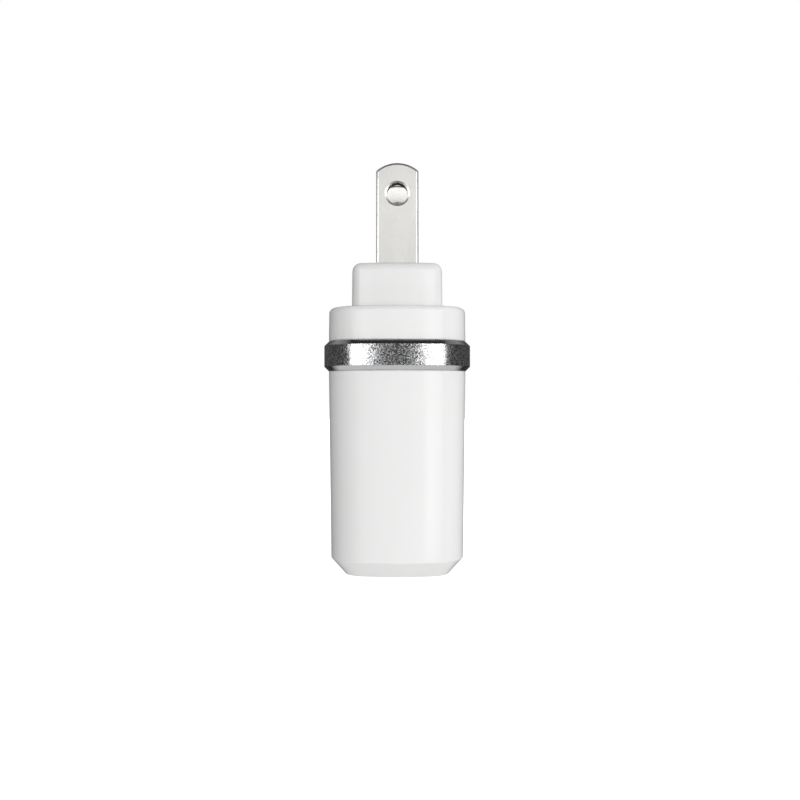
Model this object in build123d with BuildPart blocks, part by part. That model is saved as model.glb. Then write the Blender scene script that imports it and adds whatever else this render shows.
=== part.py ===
from build123d import *
import os
from math import atan2, degrees, radians, sqrt, tan

# Two-port USB wall charger with fixed flat blades. Millimetres and degrees.
# It stands on its socket end with +Z towards the blades. X crosses the case the thin way and Y the
# wide way, and the origin is at the centre of the socket face.

# Case outline at the seam between housing and cap
case_thickness = 19.9
case_width = 38.0
side_crown = 300.0  # plan radius of the two wide faces
end_crown = 30.0  # plan radius of the two narrow faces
case_corner = 5.2
case_draft = 0.75

# Heights of the case, from the socket face upwards
rim_height = 28.5
ring_height = 4.1
shoulder_height = 4.7
neck_height = 6.4

# Housing
housing_wall = 1.7
floor_thickness = 2.0
base_chamfer_height = 2.3
base_chamfer_inset = 2.0
base_edge_round = 0.4
rail_width = 0.8
rail_height = 6.5

# Cap, with a skirt that plugs into the housing through the ring
lip_thickness = 1.2
seam_gap = 0.1
skirt_wall = 1.3
skirt_depth = 4.0
shoulder_roof = 1.8
shoulder_round = 0.7
neck_ledge = 3.25
neck_corner = 1.5
neck_round = 1.2
neck_wall = 2.0
neck_cavity_corner = 0.6
neck_end_crown = 30.0
face_thickness = 3.0

# Trim ring
ring_proud = 0.65
ring_chamfer = 0.6

# Blades, to the two-pole flat-blade pattern
blade_width = 6.35
blade_thickness = 1.5
blade_length = 16.2
blade_pitch = 12.7
blade_tip_radius = 4.8
blade_tip_bevel = 0.35
blade_edge_round = 0.2
blade_hole = 3.18
blade_hole_bevel = 0.3
blade_hole_from_tip = 4.6
blade_slot_gap = 0.05
flange_width = 8.0
flange_height = 2.0
tail_width = 4.0
tail_length = 7.0

# Retainer plate and its screws
retainer_thickness = 1.6
retainer_gap = 0.15
screw_shank = 1.6
screw_length = 5.0
screw_head = 3.0
screw_head_height = 1.0
screw_slot_width = 0.5
screw_slot_depth = 0.45
boss_diameter = 3.6
boss_margin = 0.6

# Socket-A receptacles
shell_width = 13.1
shell_height = 5.7
shell_wall = 0.3
shell_length = 13.6
shell_corner = 0.6
shell_recess = 0.8
shell_gap = 0.15
shell_leg_width = 2.4
port_edge_margin = 4.15
finger_width = 1.8
finger_length = 5.2
finger_slit = 0.3
finger_dip = 0.45
tongue_width = 11.1
tongue_thickness = 1.84
tongue_side_gap = 0.7
tongue_recess = 1.5
tongue_base_length = 3.4
contact_width = 1.1
contact_thickness = 0.3
contact_offsets = (-3.5, -1.0, 1.0, 3.5)
contact_setback = 0.6
contact_pin_width = 0.6

# Boards
board_thickness = 1.2
board_gap = 0.4
board_back_room = 2.6
usb_board_gap = 0.6
pin_size = 0.64
pin_pitch = 2.54
pin_count = 5
pin_reach = 1.4
lead_diameter = 0.6
lead_out = 0.8
solder_height = 0.6
solder_spread = 0.35
sheet_thickness = 0.25

# Clearances
press_gap = 0.02
hole_gap = 0.15
part_gap = 0.4

# Contact clips
clip_thickness = 0.4
clip_height = 3.0

# Transformer
core_width = 14.0
core_height = 12.0
core_leg = 2.0
core_post = 4.0
core_joint = 0.05
bobbin_wall = 0.7
winding_gap = 0.5
tape_thickness = 0.25
bobbin_pin_spread = 3.2

# Parts with leads, on the front of the upright board
parts_lift = 2.8
input_can_length = 12.0
output_can_length = 8.0
can_edge_round = 0.5
can_groove_height = 1.6
can_groove_depth = 0.25
can_groove_radius = 0.55
resistor_diameter = 2.4
resistor_length = 4.6
inductor_diameter = 3.0
inductor_length = 6.6
axial_round = 0.3
disc_diameter = 6.2
disc_thickness = 2.4
disc_round = 0.9

# Surface-mount packages, on the solder side: body across, body up and height
bridge_size = (4.7, 3.8, 1.5)
controller_size = (4.9, 3.9, 1.5)
output_switch_size = (4.9, 3.9, 1.5)
coupler_size = (4.4, 2.7, 1.8)
package_gap = 1.4
package_lead_width = 0.45
package_lead_reach = 0.8
package_lead_thickness = 0.2
passive_size = (1.6, 0.8, 0.5)
passive_pitch = 2.0

# Heights worked out from the sizes above
ring_top = rim_height + ring_height
shoulder_top = ring_top + shoulder_height
neck_top = shoulder_top + neck_height
blade_tip = neck_top + blade_length
skirt_bottom = rim_height - skirt_depth
face_under = neck_top - face_thickness
retainer_top = face_under - flange_height
retainer_bottom = retainer_top - retainer_thickness
tail_bottom = retainer_top - tail_length
shell_top = shell_recess + shell_length
usb_board_bottom = shell_top + usb_board_gap
usb_board_top = usb_board_bottom + board_thickness
main_board_top = tail_bottom + clip_height + part_gap
parts_bottom = usb_board_top + parts_lift

# Widths worked out from the sizes above
neck_thickness = case_thickness - 2 * neck_ledge
neck_width = case_width - 2 * neck_ledge
skirt_outer = lip_thickness + seam_gap
skirt_inner = skirt_outer + skirt_wall
side_sag = (case_width / 2) ** 2 / (2 * side_crown)
room_half_x = case_thickness / 2 - skirt_inner - side_sag
end_sag = (case_thickness / 2) ** 2 / (2 * end_crown)
room_half_y = case_width / 2 - skirt_inner - end_sag
board_back_x = sheet_thickness + board_back_room - room_half_x
board_face_x = board_back_x + board_thickness
board_half_y = room_half_y - board_gap
part_room = room_half_x - part_gap - board_face_x
bay_width = board_half_y - core_width / 2 - 2 * part_gap
can_diameter = min(part_room, bay_width)
bay_y = board_half_y - part_gap - can_diameter / 2
port_y = (case_width - shell_width) / 2 - port_edge_margin
tongue_face = shell_height / 2 - shell_wall - tongue_side_gap - tongue_thickness
screw_y = neck_width / 2 - neck_wall - retainer_gap - boss_margin - boss_diameter / 2


def shrink(height):
    """How far the draft brings a wall in over a height."""
    return height * tan(radians(case_draft))


def crowned_oblong(thickness, width, corner, end, inset=0.0):
    """A plan outline whose four sides bow outwards, brought in by an even inset."""
    side_offset = side_crown - thickness / 2
    end_offset = end - width / 2
    with BuildSketch() as outline:
        with Locations((-side_offset, 0)):
            Circle(side_crown - inset)
        with Locations((side_offset, 0)):
            Circle(side_crown - inset, mode=Mode.INTERSECT)
        with Locations((0, -end_offset)):
            Circle(end - inset, mode=Mode.INTERSECT)
        with Locations((0, end_offset)):
            Circle(end - inset, mode=Mode.INTERSECT)
        fillet(outline.vertices(), corner)
    return outline.sketch


def case_outline(inset=0.0):
    """The case's own outline at the seam, brought in by an inset."""
    return crowned_oblong(case_thickness, case_width, case_corner - inset, end_crown, inset)


def neck_outline(inset=0.0):
    """The neck's own outline, brought in by an inset."""
    corner = max(neck_corner - inset, neck_cavity_corner)
    return crowned_oblong(neck_thickness, neck_width, corner, neck_end_crown, inset)


def drafted(outline, bottom, bottom_inset, top, top_inset, mode=Mode.ADD):
    """A straight-sided solid between two heights, from an outline brought in at each end."""
    with BuildSketch(Plane.XY.offset(bottom)) as low:
        add(outline(bottom_inset))
    with BuildSketch(Plane.XY.offset(top)) as high:
        add(outline(top_inset))
    loft([low.sketch, high.sketch], ruled=True, mode=mode)


def block(x, y, z, size_x, size_y, size_z, mode=Mode.ADD):
    """A box on its own bottom centre."""
    with Locations((x, y, z)):
        Box(size_x, size_y, size_z, align=(Align.CENTER, Align.CENTER, Align.MIN), mode=mode)


def post(x, y, z, diameter, height, mode=Mode.ADD):
    """An upright cylinder on its own bottom centre."""
    with Locations((x, y, z)):
        Cylinder(
            diameter / 2, height, align=(Align.CENTER, Align.CENTER, Align.MIN), mode=mode
        )


def lead(body_x, y, z):
    """A wire that runs from a body on the upright board out through the solder side."""
    start = board_back_x - lead_out
    with Locations(Location((start, y, z), (0, 90, 0))):
        Cylinder(
            lead_diameter / 2, body_x - start, align=(Align.CENTER, Align.CENTER, Align.MIN)
        )


def save(part, name):
    part.label = name
    export_step(part, f"parts/{name}.step")


os.makedirs("parts", exist_ok=True)

# Rear housing: a cup with two socket openings in its floor and rails for the upright board
rail_tip = board_half_y - part_gap
rail_root = case_width / 2 - housing_wall
rail_x = (board_back_x + board_face_x) / 2
rail_offset = board_thickness / 2 + seam_gap + rail_width / 2
with BuildPart() as rear_housing:
    drafted(case_outline, 0, shrink(rim_height), rim_height, 0)
    base = rear_housing.faces().sort_by(Axis.Z)[0]
    chamfer(
        base.outer_wire().edges(), base_chamfer_inset, base_chamfer_height, reference=base
    )
    base = rear_housing.faces().sort_by(Axis.Z)[0]
    fillet(base.outer_wire().edges(), base_edge_round)
    floor_inset = housing_wall + shrink(rim_height - floor_thickness)
    drafted(
        case_outline, floor_thickness, floor_inset, rim_height, housing_wall, Mode.SUBTRACT
    )
    with BuildSketch(Plane.XY.offset(rim_height)):
        add(case_outline(lip_thickness))
    extrude(amount=-skirt_depth - seam_gap, mode=Mode.SUBTRACT)
    with BuildSketch(Plane.XY.offset(floor_thickness)):
        with Locations((0, -port_y), (0, port_y)):
            RectangleRounded(
                shell_height + 2 * shell_gap,
                shell_width + 2 * shell_gap,
                shell_corner + shell_gap,
            )
    extrude(amount=-floor_thickness, mode=Mode.SUBTRACT)
    for end in (-1, 1):
        for side in (-1, 1):
            block(
                rail_x + side * rail_offset,
                end * (rail_tip + rail_root) / 2,
                usb_board_top + board_gap,
                rail_width,
                rail_root - rail_tip,
                rail_height,
            )
save(rear_housing.part, "rear_housing")

# Front cap: shoulder, neck and skirt in one moulding, with the slots that the blades come out of
with BuildPart() as front_cap:
    drafted(case_outline, ring_top, 0, shoulder_top, shrink(shoulder_height))
    fillet(front_cap.faces().sort_by(Axis.Z)[-1].outer_wire().edges(), shoulder_round)
    drafted(neck_outline, shoulder_top, 0, neck_top, shrink(neck_height))
    fillet(front_cap.faces().sort_by(Axis.Z)[-1].outer_wire().edges(), neck_round)
    with BuildSketch(Plane.XY.offset(skirt_bottom)):
        add(case_outline(skirt_outer))
    extrude(amount=ring_top - skirt_bottom)
    with BuildSketch(Plane.XY.offset(skirt_bottom)):
        add(case_outline(skirt_inner))
    extrude(amount=shoulder_top - shoulder_roof - skirt_bottom, mode=Mode.SUBTRACT)
    with BuildSketch(Plane.XY.offset(skirt_bottom)):
        add(neck_outline(neck_wall))
    extrude(amount=face_under - skirt_bottom, mode=Mode.SUBTRACT)
    for side in (-1, 1):
        post(0, side * screw_y, retainer_top, boss_diameter, flange_height)
        post(
            0,
            side * screw_y,
            retainer_top,
            screw_shank + 2 * press_gap,
            screw_length - retainer_thickness + press_gap,
            mode=Mode.SUBTRACT,
        )
    with BuildSketch(Plane.XY.offset(neck_top)):
        with Locations((0, -blade_pitch / 2), (0, blade_pitch / 2)):
            Rectangle(blade_width + 2 * blade_slot_gap, blade_thickness + 2 * blade_slot_gap)
    extrude(amount=-face_thickness, mode=Mode.SUBTRACT)
save(front_cap.part, "front_cap")

# Trim ring: a bevelled aluminium band trapped between the cap's shoulder and the housing's rim
with BuildPart() as trim_ring:
    with BuildSketch(Plane.XY.offset(rim_height)):
        add(case_outline(-ring_proud))
    extrude(amount=ring_height)
    chamfer(trim_ring.faces().sort_by(Axis.Z)[-1].edges(), ring_chamfer)
    chamfer(trim_ring.faces().sort_by(Axis.Z)[0].edges(), ring_chamfer)
    with BuildSketch(Plane.XY.offset(rim_height)):
        add(case_outline(lip_thickness))
    extrude(amount=ring_height, mode=Mode.SUBTRACT)
save(trim_ring.part, "trim_ring")

# Blades: plated strips with a rounded tip, a bevelled lock hole, a flange and a contact tail
tip_sag = blade_tip_radius - sqrt(blade_tip_radius**2 - (blade_width / 2) ** 2)
for name, side in (("blade_line", -1), ("blade_neutral", 1)):
    blade_y = side * blade_pitch / 2
    with BuildPart() as blade:
        with BuildSketch(Plane.XZ.offset(-blade_y)):
            with BuildLine():
                Polyline(
                    (blade_width / 2, blade_tip - tip_sag),
                    (blade_width / 2, face_under),
                    (-blade_width / 2, face_under),
                    (-blade_width / 2, blade_tip - tip_sag),
                )
                ThreePointArc(
                    (-blade_width / 2, blade_tip - tip_sag),
                    (0, blade_tip),
                    (blade_width / 2, blade_tip - tip_sag),
                )
            make_face()
        extrude(amount=blade_thickness / 2, both=True)
        chamfer(blade.edges().filter_by(GeomType.CIRCLE), blade_tip_bevel)
        long_edges = blade.edges().filter_by(Axis.Z).filter_by(lambda e: e.length > blade_length / 2)
        fillet(long_edges, blade_edge_round)
        with Locations(Location((0, blade_y, blade_tip - blade_hole_from_tip), (90, 0, 0))):
            Cylinder(blade_hole / 2, 2 * blade_thickness, mode=Mode.SUBTRACT)
        circles = blade.edges().filter_by(GeomType.CIRCLE)
        chamfer(
            circles.filter_by(lambda e: abs(e.radius - blade_hole / 2) < press_gap),
            blade_hole_bevel,
        )
        block(
            0,
            blade_y,
            retainer_top,
            flange_width,
            blade_thickness,
            flange_height,
        )
        block(0, blade_y, tail_bottom, tail_width, blade_thickness, retainer_top - tail_bottom)
    save(blade.part, name)

# Retainer plate: closes the neck behind the blade flanges
with BuildPart() as blade_retainer:
    with BuildSketch(Plane.XY.offset(retainer_bottom)):
        add(neck_outline(neck_wall + retainer_gap))
        with Locations((0, -blade_pitch / 2), (0, blade_pitch / 2)):
            Rectangle(
                tail_width + 2 * blade_slot_gap,
                blade_thickness + 2 * blade_slot_gap,
                mode=Mode.SUBTRACT,
            )
        with Locations((0, -screw_y), (0, screw_y)):
            Circle(screw_shank / 2 + hole_gap, mode=Mode.SUBTRACT)
    extrude(amount=retainer_thickness)
save(blade_retainer.part, "blade_retainer")

# Retainer screws: two slotted pan heads that drive upwards into the cap's bosses
with BuildPart() as retainer_screws:
    for side in (-1, 1):
        post(0, side * screw_y, retainer_bottom, screw_shank, screw_length)
        head_bottom = retainer_bottom - screw_head_height
        post(0, side * screw_y, head_bottom, screw_head, screw_head_height)
        block(
            0,
            side * screw_y,
            head_bottom,
            screw_head,
            screw_slot_width,
            screw_slot_depth,
            mode=Mode.SUBTRACT,
        )
save(retainer_screws.part, "retainer_screws")

# Contact clips: forks soldered to the upright board that grip the blade tails
clip_slot = blade_thickness + 2 * press_gap
clip_width = clip_slot + 2 * clip_thickness
clip_reach = tail_width / 2 - board_face_x
for name, side in (("contact_clip_line", -1), ("contact_clip_neutral", 1)):
    clip_y = side * blade_pitch / 2
    with BuildPart() as clip:
        block(
            board_face_x + clip_reach / 2, clip_y, tail_bottom, clip_reach, clip_width, clip_height
        )
        block(
            board_face_x + clip_thickness + clip_reach / 2,
            clip_y,
            tail_bottom,
            clip_reach,
            clip_slot,
            clip_height,
            mode=Mode.SUBTRACT,
        )
    save(clip.part, name)

# Receptacles, one for each socket: shell with spring fingers, tongue with its base, and contacts
tongue_tip = shell_recess + tongue_recess
base_bottom = shell_top - tongue_base_length
finger_top = base_bottom - finger_slit
finger_tilt = degrees(atan2(finger_dip, finger_length))
through_board = usb_board_top + lead_out - shell_top
leg_offset = (shell_width - shell_wall) / 2
contact_x = tongue_face - contact_thickness / 2
for name, side in (("left", -1), ("right", 1)):
    centre_y = side * port_y
    with BuildPart() as shell:
        with BuildSketch(Plane.XY.offset(shell_recess)):
            with Locations((0, centre_y)):
                RectangleRounded(shell_height, shell_width, shell_corner)
                RectangleRounded(
                    shell_height - 2 * shell_wall,
                    shell_width - 2 * shell_wall,
                    shell_corner - shell_wall,
                    mode=Mode.SUBTRACT,
                )
        extrude(amount=shell_length)
        for finger_y in (centre_y - shell_width / 4, centre_y + shell_width / 4):
            block(
                0,
                finger_y,
                finger_top - finger_length - finger_slit,
                2 * shell_height,
                finger_width + 2 * finger_slit,
                finger_length + finger_slit,
                mode=Mode.SUBTRACT,
            )
            for face in (-1, 1):
                root_x = face * (shell_height - shell_wall) / 2
                with Locations(Location((root_x, finger_y, finger_top), (0, face * finger_tilt, 0))):
                    Box(
                        shell_wall,
                        finger_width,
                        finger_length,
                        align=(Align.CENTER, Align.CENTER, Align.MAX),
                    )
        for leg_y in (centre_y - leg_offset, centre_y + leg_offset):
            block(0, leg_y, shell_top, shell_leg_width, shell_wall, through_board)
    save(shell.part, f"usb_shell_{name}")

    with BuildPart() as tongue:
        block(
            0,
            centre_y,
            base_bottom,
            shell_height - 2 * shell_wall - 2 * press_gap,
            shell_width - 2 * shell_wall - 2 * press_gap,
            tongue_base_length,
        )
        fillet(tongue.edges().filter_by(Axis.Z), shell_corner - shell_wall)
        block(
            tongue_face + tongue_thickness / 2,
            centre_y,
            tongue_tip,
            tongue_thickness,
            tongue_width,
            base_bottom - tongue_tip,
        )
        for offset_y in contact_offsets:
            block(
                contact_x,
                centre_y + offset_y,
                base_bottom,
                contact_thickness,
                contact_width + 2 * press_gap,
                tongue_base_length,
                mode=Mode.SUBTRACT,
            )
    save(tongue.part, f"usb_tongue_{name}")

    with BuildPart() as contacts:
        contact_bottom = tongue_tip + contact_setback
        for offset_y in contact_offsets:
            block(
                contact_x,
                centre_y + offset_y,
                contact_bottom,
                contact_thickness,
                contact_width,
                shell_top - contact_bottom,
            )
            block(
                contact_x,
                centre_y + offset_y,
                shell_top,
                contact_thickness,
                contact_pin_width,
                through_board,
            )
    save(contacts.part, f"usb_contacts_{name}")

# Socket board: lies across the case above the receptacles, drilled for their legs and pins
pin_rows = [(row - (pin_count - 1) / 2) * pin_pitch for row in range(pin_count)]
pin_x = board_back_x - pin_reach
pin_z = usb_board_top + pin_reach
with BuildPart() as usb_board:
    with BuildSketch(Plane.XY.offset(usb_board_bottom)):
        add(case_outline(housing_wall + shrink(rim_height - usb_board_bottom) + board_gap))
        with Locations(
            *[(0, side * port_y + leg) for side in (-1, 1) for leg in (-leg_offset, leg_offset)]
        ):
            Rectangle(
                shell_leg_width + 2 * hole_gap, shell_wall + 2 * hole_gap, mode=Mode.SUBTRACT
            )
        with Locations(
            *[(contact_x, side * port_y + y) for side in (-1, 1) for y in contact_offsets]
        ):
            Circle(contact_pin_width / 2 + hole_gap, mode=Mode.SUBTRACT)
        with Locations(*[(pin_x, y) for y in pin_rows]):
            Circle(pin_size / sqrt(2) + hole_gap, mode=Mode.SUBTRACT)
    extrude(amount=board_thickness)
save(usb_board.part, "usb_board")

# Pins that join the two boards: right-angle header pins
with BuildPart() as board_link_pins:
    for y in pin_rows:
        pin_bottom = usb_board_bottom - lead_out / 2
        block(pin_x, y, pin_bottom, pin_size, pin_size, pin_z + pin_size / 2 - pin_bottom)
        with Locations((pin_x, y, pin_z)):
            Box(
                board_face_x + lead_out - pin_x,
                pin_size,
                pin_size,
                align=(Align.MIN, Align.CENTER, Align.CENTER),
            )
save(board_link_pins.part, "board_link_pins")

# Transformer: core in two halves, bobbin with pins, winding and tape
window_width = (core_width - core_post) / 2 - core_leg
winding_build = window_width - bobbin_wall - tape_thickness - winding_gap
core_depth = part_room - 2 * (bobbin_wall + winding_build + tape_thickness + part_gap)
core_x = board_face_x + part_room / 2
core_middle = parts_bottom + core_height / 2
tube_x = core_depth + 2 * (press_gap + bobbin_wall)
tube_y = core_post + 2 * (press_gap + bobbin_wall)
flange_y = core_width - 2 * (core_leg + hole_gap)
flange_x = part_room - part_gap
window_height = core_height - 2 * core_leg
bobbin_bottom = parts_bottom + core_leg + press_gap
bobbin_height = window_height - 2 * press_gap
winding_height = bobbin_height - 2 * bobbin_wall
bobbin_pins = [
    (side * bobbin_pin_spread, z)
    for side in (-1, 1)
    for z in (bobbin_bottom + bobbin_wall / 2, bobbin_bottom + bobbin_height - bobbin_wall / 2)
]
for name, side in (("lower", -1), ("upper", 1)):
    with BuildPart() as core_half:
        half_height = (core_height - core_joint) / 2
        with Locations((core_x, 0, core_middle + side * (core_joint + half_height) / 2)):
            Box(core_depth, core_width, half_height)
        for window_side in (-1, 1):
            window_y = window_side * (core_post + window_width) / 2
            with Locations((core_x, window_y, core_middle)):
                Box(core_depth, window_width, window_height, mode=Mode.SUBTRACT)
    save(core_half.part, f"transformer_core_{name}")

with BuildPart() as transformer_bobbin:
    block(core_x, 0, bobbin_bottom, tube_x, tube_y, bobbin_height)
    for z in (bobbin_bottom, bobbin_bottom + bobbin_height - bobbin_wall):
        block(board_face_x + flange_x / 2, 0, z, flange_x, flange_y, bobbin_wall)
    block(
        core_x,
        0,
        bobbin_bottom,
        core_depth + 2 * press_gap,
        core_post + 2 * press_gap,
        bobbin_height,
        mode=Mode.SUBTRACT,
    )
    for y, z in bobbin_pins:
        lead(board_face_x + bobbin_wall, y, z)
save(transformer_bobbin.part, "transformer_bobbin")

with BuildPart() as transformer_winding:
    for offset, mode in ((winding_build, Mode.ADD), (press_gap, Mode.SUBTRACT)):
        with BuildSketch(Plane.XY.offset(bobbin_bottom + bobbin_wall + press_gap)):
            with Locations((core_x, 0)):
                RectangleRounded(tube_x + 2 * offset, tube_y + 2 * offset, offset)
        extrude(amount=winding_height - 2 * press_gap, mode=mode)
save(transformer_winding.part, "transformer_winding")

with BuildPart() as transformer_tape:
    tape_inside = winding_build + press_gap
    for offset, mode in (
        (tape_inside + tape_thickness, Mode.ADD),
        (tape_inside, Mode.SUBTRACT),
    ):
        with BuildSketch(Plane.XY.offset(bobbin_bottom + bobbin_wall + press_gap)):
            with Locations((core_x, 0)):
                RectangleRounded(tube_x + 2 * offset, tube_y + 2 * offset, offset)
        extrude(amount=winding_height - 2 * press_gap, mode=mode)
save(transformer_tape.part, "transformer_tape")

# Electrolytic capacitors: cans that lie along the upright board, with a rolled neck and two leads
can_x = board_face_x + can_diameter / 2
can_lead_z = parts_bottom - lead_diameter
can_leads = [
    (side * bay_y + spread * can_diameter / 4, can_lead_z) for side in (-1, 1) for spread in (-1, 1)
]
for name, side, length in (
    ("input_capacitor", -1, input_can_length),
    ("output_capacitor", 1, output_can_length),
):
    with BuildPart() as capacitor:
        post(can_x, side * bay_y, parts_bottom, can_diameter, length)
        fillet(capacitor.edges().filter_by(GeomType.CIRCLE), can_edge_round)
        with Locations((can_x, side * bay_y, parts_bottom + can_groove_height)):
            Torus(
                can_diameter / 2 + can_groove_radius - can_groove_depth,
                can_groove_radius,
                mode=Mode.SUBTRACT,
            )
        for y, z in can_leads:
            if y * side > 0:
                post(can_x, y, z, lead_diameter, lead_diameter + can_groove_depth)
                with Locations((can_x, y, z)):
                    Sphere(lead_diameter / 2)
                lead(can_x, y, z)
    save(capacitor.part, name)

# Fusible resistor and filter inductor: axial bodies held off the board on bent leads
axial_z = main_board_top - part_gap - inductor_diameter / 2
resistor_y = -(blade_pitch + clip_width + resistor_length) / 2 - part_gap - lead_diameter
axials = (
    ("fusible_resistor", resistor_y, resistor_diameter, resistor_length),
    ("filter_inductor", 0, inductor_diameter, inductor_length),
)
axial_leads = [
    (y + end * (length + lead_diameter) / 2, axial_z)
    for name, y, diameter, length in axials
    for end in (-1, 1)
]
for name, y, diameter, length in axials:
    body_x = board_face_x + part_gap + diameter / 2
    with BuildPart() as axial:
        with Locations(Location((body_x, y, axial_z), (90, 0, 0))):
            Cylinder(diameter / 2, length - lead_diameter)
        fillet(axial.edges().filter_by(GeomType.CIRCLE), axial_round)
        with Locations(Location((body_x, y, axial_z), (90, 0, 0))):
            Cylinder(lead_diameter / 2, length + lead_diameter)
        for lead_y, z in axial_leads:
            if abs(lead_y - y) < length:
                with Locations((body_x, lead_y, z)):
                    Sphere(lead_diameter / 2)
                lead(body_x, lead_y, z)
    save(axial.part, name)

# Safety capacitor: a dipped disc that lies over its two leads
disc_y = (blade_pitch + clip_width + disc_diameter) / 2 + part_gap
disc_z = main_board_top - disc_diameter / 2
disc_leads = [(disc_y + end * disc_diameter / 4, disc_z - disc_diameter / 4) for end in (-1, 1)]
with BuildPart() as safety_capacitor:
    with Locations(Location((board_face_x + part_gap, disc_y, disc_z), (0, 90, 0))):
        Cylinder(
            disc_diameter / 2, disc_thickness, align=(Align.CENTER, Align.CENTER, Align.MIN)
        )
    fillet(safety_capacitor.edges().filter_by(GeomType.CIRCLE), disc_round)
    for y, z in disc_leads:
        lead(board_face_x + part_gap + disc_thickness / 2, y, z)
save(safety_capacitor.part, "safety_capacitor")

# Upright board: carries the mains side, the transformer and the output side
all_leads = can_leads + axial_leads + disc_leads + bobbin_pins
with BuildPart() as main_board:
    with BuildSketch(Plane.YZ.offset(board_back_x)):
        with Locations((0, usb_board_top)):
            Rectangle(
                2 * board_half_y, main_board_top - usb_board_top, align=(Align.CENTER, Align.MIN)
            )
        with Locations(*all_leads):
            Circle(lead_diameter / 2 + hole_gap, mode=Mode.SUBTRACT)
        with Locations(*[(y, pin_z) for y in pin_rows]):
            Circle(pin_size / sqrt(2) + hole_gap, mode=Mode.SUBTRACT)
    extrude(amount=board_thickness)
save(main_board.part, "main_board")

# Solder joints: a cone round each lead on the solder side of the upright board
with BuildPart() as solder_joints:
    for y, z in all_leads:
        with Locations(Location((board_back_x, y, z), (0, -90, 0))):
            Cone(
                lead_diameter / 2 + hole_gap + solder_spread,
                lead_diameter / 2 + hole_gap,
                solder_height,
                align=(Align.CENTER, Align.CENTER, Align.MIN),
            )
            Cylinder(
                lead_diameter / 2 + press_gap,
                solder_height,
                align=(Align.CENTER, Align.CENTER, Align.MIN),
                mode=Mode.SUBTRACT,
            )
save(solder_joints.part, "solder_joints")

# Insulation sheet: a film between the solder side of the upright board and the case
with BuildPart() as insulation_sheet:
    block(
        sheet_thickness / 2 - room_half_x,
        0,
        usb_board_top,
        sheet_thickness,
        2 * (board_half_y - board_gap),
        main_board_top - usb_board_top,
    )
save(insulation_sheet.part, "insulation_sheet")

# Surface-mount packages: a moulded body with two rows of leads, flat on the solder side
bay_middle = parts_bottom + core_height / 2
package_step = (controller_size[1] + bridge_size[1]) / 2 + package_gap
package_y = rail_tip - part_gap - package_lead_reach - controller_size[0] / 2
packages = (
    ("bridge_rectifier", -package_y, bay_middle + package_step / 2, bridge_size, 2),
    ("controller_chip", -package_y, bay_middle - package_step / 2, controller_size, 4),
    ("output_rectifier", package_y, bay_middle - package_step / 2, output_switch_size, 4),
    ("opto_coupler", 0, core_middle, coupler_size, 2),
)
for name, y, z, (across, up, height), lead_count in packages:
    with BuildPart() as package:
        with Locations((board_back_x - package_lead_thickness / 2, y, z)):
            Box(height, across, up, align=(Align.MAX, Align.CENTER, Align.CENTER))
        chamfer(package.edges().filter_by(Axis.X), package_lead_thickness)
        lead_pitch = up / lead_count
        for row in range(lead_count):
            lead_z = z + (row - (lead_count - 1) / 2) * lead_pitch
            with Locations((board_back_x, y, lead_z)):
                Box(
                    package_lead_thickness,
                    across + 2 * package_lead_reach,
                    package_lead_width,
                    align=(Align.MAX, Align.CENTER, Align.CENTER),
                )
    save(package.part, name)

# Chip passives: a row of small resistors and capacitors beside the output rectifier
with BuildPart() as chip_passives:
    for row in (-1, 1):
        for column in (-1, 1):
            place_y = package_y + column * passive_pitch
            place_z = bay_middle + package_step / 2 + row * passive_pitch / 2
            with Locations((board_back_x, place_y, place_z)):
                Box(
                    passive_size[2],
                    passive_size[0],
                    passive_size[1],
                    align=(Align.MAX, Align.CENTER, Align.CENTER),
                )
save(chip_passives.part, "chip_passives")
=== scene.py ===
import math
from typing import NamedTuple

import bmesh
import bpy
from bpy.props import FloatProperty, FloatVectorProperty, IntProperty, PointerProperty
from mathutils import Matrix, Vector


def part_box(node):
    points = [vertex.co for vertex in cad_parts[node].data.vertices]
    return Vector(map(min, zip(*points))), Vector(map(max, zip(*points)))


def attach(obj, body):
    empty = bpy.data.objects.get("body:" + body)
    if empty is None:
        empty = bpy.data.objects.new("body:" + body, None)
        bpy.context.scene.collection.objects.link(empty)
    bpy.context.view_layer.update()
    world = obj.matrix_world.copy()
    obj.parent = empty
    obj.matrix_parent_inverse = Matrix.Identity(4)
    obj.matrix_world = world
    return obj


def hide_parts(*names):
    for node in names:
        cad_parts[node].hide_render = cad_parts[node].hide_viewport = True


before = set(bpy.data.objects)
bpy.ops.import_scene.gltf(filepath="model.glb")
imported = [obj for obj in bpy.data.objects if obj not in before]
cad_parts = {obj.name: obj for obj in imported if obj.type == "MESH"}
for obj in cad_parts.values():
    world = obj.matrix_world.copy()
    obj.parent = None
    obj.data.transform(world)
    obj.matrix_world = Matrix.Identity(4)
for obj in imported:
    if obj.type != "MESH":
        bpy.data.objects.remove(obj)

bl_info = {
    "name": "Wall Charger Looks",
    "version": (1, 0, 0),
    "blender": (4, 5, 0),
    "location": "3D View > Sidebar > Charger",
    "description": "Case, trim ring, blades and finishes of a slim two-port wall charger",
    "category": "Object",
}

BODY = "root"
MM = 0.001
WELD = 2e-6  # metres within which two points are one
SHARP = math.radians(40)  # a crease above this shows as an edge
FLAT = 1.0  # metres of crown radius that look straight on a wall a few millimetres long
Y, Z = 1, 2  # places of these axes in a coordinate
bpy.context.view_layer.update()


# ---------------------------------------------------------------- sizes and colours


def length(name, description, millimetres):
    """A length property with its default given in millimetres."""
    return FloatProperty(
        name=name, description=description, default=millimetres * MM, unit="LENGTH", precision=5
    )


def colour(name, description, value):
    """A colour property."""
    return FloatVectorProperty(
        name=name, description=description, default=value, size=3, min=0, max=1, subtype="COLOR"
    )


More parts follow.
